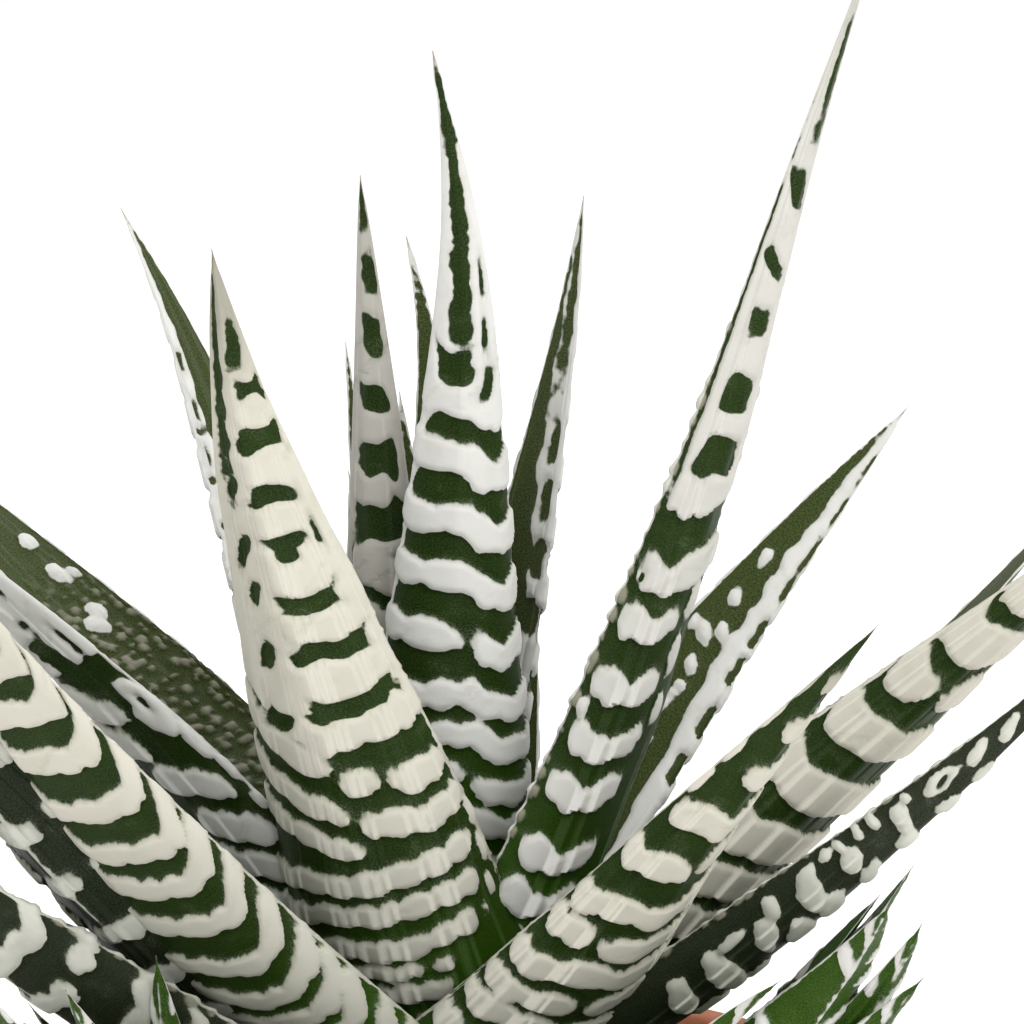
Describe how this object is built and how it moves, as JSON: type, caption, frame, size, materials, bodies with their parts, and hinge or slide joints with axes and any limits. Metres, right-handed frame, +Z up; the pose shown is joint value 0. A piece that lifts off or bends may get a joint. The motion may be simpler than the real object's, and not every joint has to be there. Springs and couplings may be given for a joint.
{
  "type": "potted haworthia",
  "caption": "Zebra haworthia: a rosette of stiff pointed leaves with raised white cross bands and young offsets, rooted in soil in a tapered clay pot.",
  "frame": {"origin": "centre of the pot's flat underside, on the material between its drain holes", "axes": "+Z up along the pot's axis; -Y towards the viewer of the picture; +X to the viewer's right"},
  "size_m": [0.1215, 0.1127, 0.1684],
  "materials": {
    "clay": "matte",
    "soil": "matte",
    "stem": "matte",
    "leaf": "satin",
    "offset_leaf": "satin"
  },
  "bodies": {
    "root": {"pot": "clay", "soil": "soil", "stem": "stem", "leaf_01": "leaf", "leaf_02": "leaf", "leaf_03": "leaf", "leaf_04": "leaf", "leaf_05": "leaf", "leaf_06": "leaf", "leaf_07": "leaf", "leaf_08": "leaf", "leaf_09": "leaf", "leaf_10": "leaf", "leaf_11": "leaf", "leaf_12": "leaf", "leaf_13": "leaf", "leaf_14": "leaf", "leaf_15": "leaf", "leaf_16": "leaf", "leaf_17": "leaf", "leaf_18": "leaf", "leaf_19": "leaf", "leaf_20": "leaf", "leaf_21": "leaf", "leaf_22": "leaf", "leaf_23": "leaf", "leaf_24": "leaf", "leaf_25": "leaf", "leaf_26": "leaf", "leaf_27": "leaf", "leaf_28": "leaf", "leaf_29": "leaf", "leaf_30": "leaf", "leaf_31": "leaf", "leaf_32": "leaf", "leaf_33": "leaf", "leaf_34": "leaf", "offset_right": "offset_leaf", "offset_front": "offset_leaf", "offset_left": "offset_leaf"}
  },
  "joints": []
}
